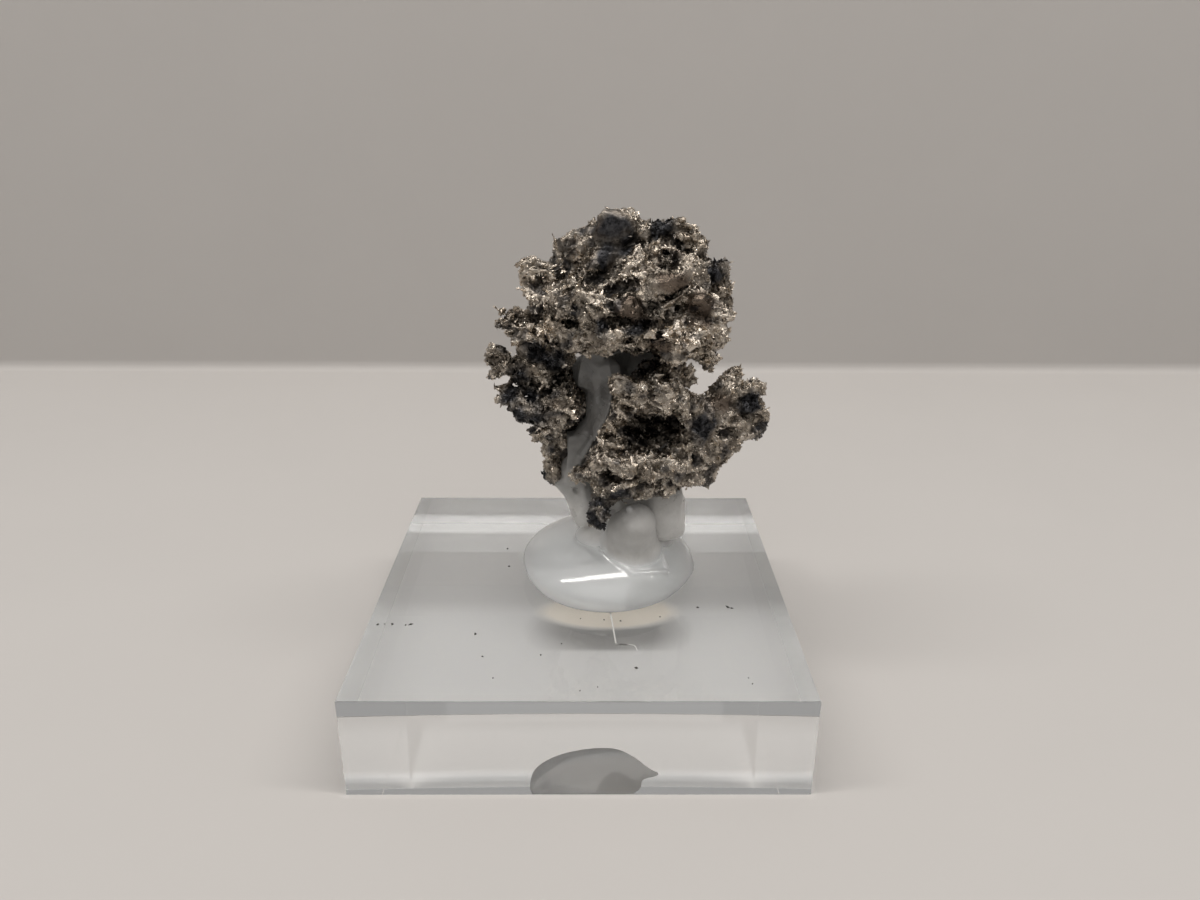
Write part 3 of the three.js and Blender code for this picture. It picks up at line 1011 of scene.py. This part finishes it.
# the nipple on top of the blob: x, y, z, radius; and the spacing of the rings round it
NIPPLE = (4.4, -3.3, 18.35, 0.32)
NIPPLE_RING = 0.42


def rounded_outline(outline):
    """The outline's corners cut again and again, which turns it into a smooth closed curve."""
    points = np.array(outline)
    for _ in range(3):
        following = np.roll(points, -1, axis=0)
        points = np.stack([0.75 * points + 0.25 * following, 0.25 * points + 0.75 * following], axis=1)
        points = points.reshape(-1, 2)
    return [tuple(p) for p in points.tolist()]


def glue_field(x, y, z, outline):
    """About the distance to the glue's surface, positive outside."""
    cx, cy = GLUE_CENTRE
    s = np.sqrt(((x - cx) / GLUE_RADII[0]) ** 2 + ((y - cy) / GLUE_RADII[1]) ** 2)
    rim = GLUE_RIM_HEIGHT * (RIM_HEIGHT[0] + RIM_HEIGHT[1] * x)
    dome = GLUE_DOME_HEIGHT * (DOME_HEIGHT[0] + DOME_HEIGHT[1] * x)
    height = z - BLOCK_TOP - rim
    up = np.maximum(height, 0) / dome
    down = np.maximum(-height, 0) / rim
    edge = np.maximum(1 - TUCK_DEPTH * down**TUCK_POWER, 0.1)
    in_plan, on_top = MOUND_POWERS
    mound = (s**in_plan + up**on_top - edge**in_plan) * MOUND_SCALE
    under = BLOCK_TOP + UNDERSIDE_SLOPE * outline_distance(x, y, outline) - z
    mound = -smooth_min(-mound, -under, UNDERSIDE_FILLET)
    knob = smooth_min(capsule(x, y, z, KNOB, NECK), ellipsoid(x, y, z, *SHOULDER), SHOULDER_FILLET)
    knob = smooth_min(knob, ellipsoid(x, y, z, *SKIRT), SKIRT_FILLET)
    px, py, pz, pr = NIPPLE
    nipple = np.sqrt((x - px) ** 2 + (y - py) ** 2 + (z - pz) ** 2) - pr
    knob = smooth_min(knob, nipple, NIPPLE_FILLET)
    body = smooth_min(mound, knob, BLOB_FILLET)
    for start, end in CREASES:
        body = smooth_min(body, capsule(x, y, z, start, end), CREASE_FILLET)
    return body


def glue_mesh():
    """Points and faces of the whole glue, moved onto its exact surface so that it shines evenly."""
    outline = rounded_outline(CONTACT)
    low, high = node_box("glue_mound")
    grid = Grid(low - (1.0, 1.0, 1.4), high + 1.0, GLUE_CELL)
    points, quads = grid.surface(glue_field(*grid.coordinates(), outline))
    for _ in range(4):
        slope = np.stack([
            glue_field(*(points + probe).T, outline) - glue_field(*(points - probe).T, outline)
            for probe in GLUE_PROBE * np.eye(3)
        ], axis=1) / (2 * GLUE_PROBE)
        value = glue_field(*points.T, outline)
        move = value[:, None] * slope / (np.sum(slope**2, axis=1, keepdims=True) + 1e-6)
        points = points - np.clip(move, -GLUE_CELL / 2, GLUE_CELL / 2)
    return points, quads


def cut_flat(bm, level):
    """Cuts off what is below a level, in metres; returns the corners round the hole, in order."""
    everything = bm.verts[:] + bm.edges[:] + bm.faces[:]
    cut = bmesh.ops.bisect_plane(
        bm, geom=everything, dist=1e-7, plane_co=(0, 0, level), plane_no=(0, 0, 1), clear_inner=True
    )
    edges = [e for e in cut["geom_cut"] if isinstance(e, bmesh.types.BMEdge)]
    ends = list(dict.fromkeys(v for e in edges for v in e.verts))
    bmesh.ops.remove_doubles(bm, verts=ends, dist=0.01 * MM)
    return ordered_loop([e for e in bm.edges if e.is_boundary])


def frost_at(points):
    """How frosted the glue is at some points: fully on the blob, not at all on the clear mound."""
    x, y, z = points.T
    milky = np.minimum(capsule(x, y, z, KNOB, NECK), ellipsoid(x, y, z, *SHOULDER))
    milky = np.minimum(milky, ellipsoid(x, y, z, *SKIRT))
    return np.clip((FROST_START - milky) / FROST_SPAN, 0, 1)


def glue_piece(clear, wetted):
    """The glue, cut flat where it wets the block; returns that patch's outline."""
    points, quads = glue_mesh()
    bm = bmesh.new()
    corners = [bm.verts.new(p) for p in (points * MM).tolist()]
    for quad in quads.tolist():
        bm.faces.new([corners[k] for k in quad])
    loop = cut_flat(bm, (BLOCK_TOP + GLUE_CONTACT_GAP) * MM)
    border = [(v.co.x / MM, v.co.y / MM) for v in loop]
    patch = bm.faces.new(loop)
    patch.normal_update()
    if patch.normal.z > 0:
        patch.normal_flip()
    for face in bm.faces:
        face.smooth = face is not patch
    patch.material_index = 1
    mesh = bpy.data.meshes.new("glue_visual")
    bm.to_mesh(mesh)
    bm.free()
    mesh.materials.append(clear)
    mesh.materials.append(wetted)
    attribute = mesh.attributes.new("frost", "FLOAT", "POINT")
    attribute.data.foreach_set("value", frost_at(mesh_points(mesh)).astype(np.float32))
    stand_for(link_object("glue_visual", mesh), "glue_mound")
    return border


def ordered_loop(edges):
    """The corners of one closed ring of edges, in order."""
    start = edges[0].verts[0]
    left = set(edges)
    loop = [start]
    here = start
    while left:
        edge = next((e for e in here.link_edges if e in left), None)
        if edge is None:
            break
        left.discard(edge)
        here = edge.other_vert(here)
        if here is start:
            break
        loop.append(here)
    return loop


# ---------------- block
BLOCK_EDGE = 0.04


def block_piece(clear, wetted, border):
    """The acrylic block, with narrow bevels and the glued patch as a face of its own."""
    low, high = node_box("acrylic_block")
    points = []
    for z, inset in ((low[2], 0.0), (high[2] - BLOCK_EDGE, 0.0), (high[2], BLOCK_EDGE)):
        left, right, front, back = low[0] + inset, high[0] - inset, low[1] + inset, high[1] - inset
        points += [(left, front, z), (right, front, z), (right, back, z), (left, back, z)]
    faces = [(3, 2, 1, 0), *band_faces(3, 4)]
    slots = [0] * len(faces)
    flat = [Vector(p[:2]) for p in points[8:12]] + [Vector(p) for p in border]
    rim_edges = [(k, (k + 1) % 4) for k in range(4)]
    border_edges = [(4 + k, 4 + (k + 1) % len(border)) for k in range(len(border))]
    top_points, _, top_faces, *_ = delaunay_2d_cdt(flat, rim_edges + border_edges, [], 1, 1e-6)
    start = len(points)
    points += [(v.x, v.y, high[2]) for v in top_points]
    for face in top_faces:
        corners = [top_points[k] for k in face]
        x, y = np.mean(corners, axis=0)
        turn = (corners[1] - corners[0]).cross(corners[2] - corners[0])
        ordered = face if turn > 0 else face[::-1]
        faces.append(tuple(start + k for k in ordered))
        slots.append(int(outline_distance(x, y, border) < 0))
    piece = make_object("block_visual", points, faces, False, [clear, wetted])
    piece.data.polygons.foreach_set("material_index", slots)
    bm = bmesh.new()
    bm.from_mesh(piece.data)
    bmesh.ops.remove_doubles(bm, verts=bm.verts[:], dist=1e-6)
    bm.to_mesh(piece.data)
    bm.free()
    stand_for(piece, "acrylic_block")


# ---------------- crumbs and threads on the block
# dark crumbs: x, y, radius
CRUMBS = (
    (-9.2, -9.6, 0.10),
    (0.0, -7.1, 0.07),
    (2.1, -7.3, 0.07),
    (3.6, -7.5, 0.11),
    (7.2, -6.8, 0.08),
    (10.8, -5.2, 0.11),
    (13.6, -5.1, 0.16),
    (13.9, -5.3, 0.10),
    (-3.3, -12.8, 0.09),
    (4.7, -14.7, 0.13),
    (-1.6, -11.1, 0.06),
    (-8.2, -13.0, 0.07),
    (-7.0, -16.0, 0.06),
    (0.1, -17.7, 0.07),
    (1.5, -17.2, 0.06),
    (13.8, -16.0, 0.06),
    (14.0, -16.8, 0.06),
    (-18.1, -8.1, 0.10),
    (-17.5, -8.0, 0.07),
    (-16.8, -8.1, 0.12),
    (-15.6, -8.2, 0.08),
    (-15.2, -8.1, 0.13),
    (-7.8, 6.3, 0.10),
    (-7.3, 2.5, 0.08),
)
STRAND_SIDES = 8
# a thread drawn out of the glue, then a pale bent fibre: x, y
GLUE_THREAD = ((2.65, -5.6), (2.85, -8.0), (3.1, -11.2))
FIBRE = ((3.4, -11.2), (4.1, -11.2), (4.65, -11.35), (4.8, -11.6), (4.9, -12.1))


def crumbs_piece():
    """Crumbs shed by the specimen, lying on the block."""
    material, tree, shader = new_material("crumbs", {"Roughness": 0.6})
    colour = mix(tree, noise(tree, 3000), (0.02, 0.018, 0.016), (0.06, 0.052, 0.045))
    connect(tree, shader, {"Base Color": colour})
    rng = np.random.default_rng(61)
    spots = np.array(CRUMBS)
    radii = spots[:, 2:]
    centres = np.column_stack([spots[:, :2], np.full(len(spots), BLOCK_TOP) + 0.3 * spots[:, 2]])
    flat = rng.standard_normal((len(spots), 3)) * (1, 1, 0.1)
    points, faces = grain_mesh(centres, flat, radii * (1.8, 1.4, 0.9), rng)
    points[:, 2] = np.maximum(points[:, 2], BLOCK_TOP + 0.002)
    ride(make_object("crumbs", points, faces.tolist(), False, [material]))


def strand_piece(name, path, radius, colours):
    """A thin round strand that lies along a path on the block."""
    material, tree, shader = new_material(name, {"Roughness": 0.4, "IOR": 1.49})
    connect(tree, shader, {"Base Color": mix(tree, noise(tree, 1800), *colours)})
    points = []
    for x, y in path:
        for k in range(STRAND_SIDES):
            turn = 2 * math.pi * k / STRAND_SIDES
            height = BLOCK_TOP + radius * (1.05 + math.sin(turn))
            points.append((x + radius * math.cos(turn), y, height))
    ends = [tuple(range(STRAND_SIDES)), tuple(range(len(points)))[-1 : -STRAND_SIDES - 1 : -1]]
    faces = band_faces(len(path), STRAND_SIDES) + ends
    piece = make_object(name, points, faces, False, [material])
    bm = bmesh.new()
    bm.from_mesh(piece.data)
    bmesh.ops.recalc_face_normals(bm, faces=bm.faces[:])
    bm.to_mesh(piece.data)
    bm.free()
    ride(piece)


# ---------------- stage, lamps, camera
FLOOR_GAP = 0.03  # the block stands this far above the floor, as a dry hard face does
FLOOR_REACH = 900.0
WALL_PLACE = 102.0
COVE_RADIUS = 2.0
WALL_HEIGHT = 69.5
FLOOR_COLOUR = (0.575, 0.555, 0.535)
WALL_COLOUR = (0.47, 0.452, 0.435)
# painted light: a glow of the floor that stands for the light the block gathers below it: y range,
# softness, strength
GATHERED_LIGHT = (
    ((-18.6, 1.2), 2.2, 0.175),
    ((1.2, 16.8), 2.2, 0.085),
    ((16.9, 19.4), 0.9, 0.30),
    ((19.7, 21.3), 0.9, 0.27),
    ((19.8, 29.0), 3.0, 0.075),
)
# painted light gathered by the glue, in front and behind, as a glow of the floor, and the painted shadow
# round it: centre, half sizes, softness, strength
GLUE_LIGHT = ((2.6, 0.6), (6.7, 3.0), 0.13, 0.15)
REAR_LIGHT = ((0.5, 11.2), (5.5, 3.6), 0.5, 0.10)
GLUE_SHADOW = ((2.6, -2.6), (6.5, 4.4), 0.30, 0.8)
SHADOW_FRONT = -5.9
SHADOW_DARKENING = 0.20  # how much the painted shadow darkens the paper's colour


def stage_material():
    """Matt pale paper, greyer where it turns up, with painted light glowing where the block and glue
    gather it and a painted shadow round the glue.
    """
    material, tree, shader = new_material("stage", {"Roughness": 0.9, "Specular IOR Level": 0.2})
    x, y, z = place_xyz(tree)
    upright = spread(tree, z, -0.1 * MM, 0.5 * COVE_RADIUS * MM)
    colour = mix(tree, upright, FLOOR_COLOUR, WALL_COLOUR)
    low, high = node_box("acrylic_block")
    glow = 0.0
    for y_range, softness, strength in GATHERED_LIGHT:
        glow = scaled_sum(tree, between(tree, y, y_range, softness), strength, glow)
    glow = product(tree, glow, between(tree, x, (low[0] - 0.3, high[0] + 0.3), 0.6))
    *light_shape, light_strength = GLUE_LIGHT
    *rear_shape, rear_strength = REAR_LIGHT
    *shadow_shape, shadow_strength = GLUE_SHADOW
    crescent = oval(tree, x, y, *light_shape)
    shadow = product(tree, oval(tree, x, y, *shadow_shape), between(tree, y, (SHADOW_FRONT, 1.0), 0.5))
    shadow = product(tree, shadow, math_node(tree, "SUBTRACT", 1.0, crescent))
    glow = product(tree, glow, scaled_sum(tree, shadow, -shadow_strength, 1.0))
    glow = scaled_sum(tree, crescent, light_strength, glow)
    glow = scaled_sum(tree, oval(tree, x, y, *rear_shape), rear_strength, glow)
    paper_grain_and_shadow = spread(tree, noise(tree, 40, 4.0), 0.3, 0.7, 0.985, 1.0)
    # painted shadow: the paper's colour is darkened round the glue
    paper_grain_and_shadow = product(tree, paper_grain_and_shadow, scaled_sum(tree, shadow, -SHADOW_DARKENING, 1.0))
    connect(tree, shader, {
        "Base Color": mix(tree, 1.0, colour, grey(tree, paper_grain_and_shadow), "MULTIPLY"),
        "Emission Strength": glow,
        "Emission Color": mix(tree, crescent, (1.0, 0.985, 0.96), (1.0, 0.86, 0.68)),
    })
    return material


def oval(tree, x, y, centre, radii, softness):
    """1 inside an oval on the floor and 0 outside, with a soft rim."""
    across = scaled_sum(tree, x, 1 / (radii[0] * MM), -centre[0] / radii[0])
    along = scaled_sum(tree, y, 1 / (radii[1] * MM), -centre[1] / radii[1])
    squares = [product(tree, side, side) for side in (across, along)]
    away = math_node(tree, "SQRT", math_node(tree, "ADD", *squares))
    return spread(tree, away, 1 - softness, 1 + softness, 1.0, 0.0)


def between(tree, value, limits, softness):
    """1 where the value, in metres, lies between two limits in millimetres, with soft edges."""
    half = softness / 2
    rise = spread(tree, value, (limits[0] - half) * MM, (limits[0] + half) * MM)
    fall = spread(tree, value, (limits[1] - half) * MM, (limits[1] + half) * MM, 1.0, 0.0)
    return product(tree, rise, fall)


def build_stage():
    """A pale floor that turns up into a grey wall behind."""
    profile = [(-FLOOR_REACH, 0.0), (WALL_PLACE - COVE_RADIUS, 0.0)]
    for k in range(1, 13):
        turn = math.pi / 2 * k / 12
        away = WALL_PLACE - COVE_RADIUS * (1 - math.sin(turn))
        profile.append((away, COVE_RADIUS * (1 - math.cos(turn))))
    profile.append((WALL_PLACE, WALL_HEIGHT))
    points = [(x, y, z - FLOOR_GAP) for y, z in profile for x in (-FLOOR_REACH, FLOOR_REACH)]
    faces = [(2 * k, 2 * k + 1, 2 * k + 3, 2 * k + 2) for k in range(len(profile) - 1)]
    make_object("stage", points, faces, True, [stage_material()])


def area_lamp(name, place_mm, size_mm, watts, colour):
    """A rectangular lamp that shines at the middle of the block's underside."""
    lamp = bpy.data.lights.new(name, "AREA")
    lamp.shape = "RECTANGLE"
    lamp.size, lamp.size_y = size_mm[0] * MM, size_mm[1] * MM
    lamp.energy = watts
    lamp.color = colour
    thing = link_object(name, lamp)
    thing.location = Vector(place_mm) * MM
    thing.rotation_euler = (-thing.location).to_track_quat("-Z", "Y").to_euler()


def build_lamps():
    """A long strip lamp overhead, a wide soft one in front, and a dim room all round."""
    area_lamp("strip", (0, -66, 400), (800, 50), 1.55, (1.0, 0.965, 0.93))
    area_lamp("front_fill", (0, -500, 520), (900, 500), 0.8, (1.0, 0.98, 0.96))
    world = bpy.data.worlds.new("room")
    world.use_nodes = True
    background = world.node_tree.nodes["Background"]
    background.inputs["Color"].default_value = (1.0, 0.975, 0.95, 1.0)
    background.inputs["Strength"].default_value = 0.33
    bpy.context.scene.world = world


CAMERA_PLACE = (1.16, -77.58, 53.68)
CAMERA_PITCH = 21.69  # downward
CAMERA_YAW = 0.42  # to the right
CAMERA_ROLL = 0.27
CAMERA_LENS = 27.15
CAMERA_SENSOR = 36.0


def build_camera():
    """The camera, a little above the specimen and in front of it."""
    data = bpy.data.cameras.new("camera")
    data.lens = CAMERA_LENS
    data.sensor_width = CAMERA_SENSOR
    data.clip_start, data.clip_end = 0.002, 10.0
    camera = link_object("camera", data)
    turn = (
        Matrix.Rotation(math.radians(-CAMERA_YAW), 4, "Z")
        @ Matrix.Rotation(math.radians(90 - CAMERA_PITCH), 4, "X")
        @ Matrix.Rotation(math.radians(CAMERA_ROLL), 4, "Z")
    )
    camera.matrix_world = Matrix.Translation(Vector(CAMERA_PLACE) * MM) @ turn
    bpy.context.scene.camera = camera


build_camera()
build_stage()
build_lamps()
bpy.context.scene.view_settings.view_transform = "Standard"

silver = silver_material()
shapes = silver_fields()
for number, node_name in enumerate(SILVER_NODES):
    silver_piece(node_name, number, shapes, silver)
calcite_piece(calcite_material())
patch_border = glue_piece(glue_material(), wetted_material("glue_wetted", 1.0))
block_piece(acrylic_material(), wetted_material("block_wetted", 0.5), patch_border)
crumbs_piece()
strand_piece("glue_thread", GLUE_THREAD, 0.08, ((0.55, 0.54, 0.52), (0.7, 0.69, 0.67)))
strand_piece("fibre", FIBRE, 0.035, ((0.8, 0.79, 0.77), (0.9, 0.89, 0.87)))
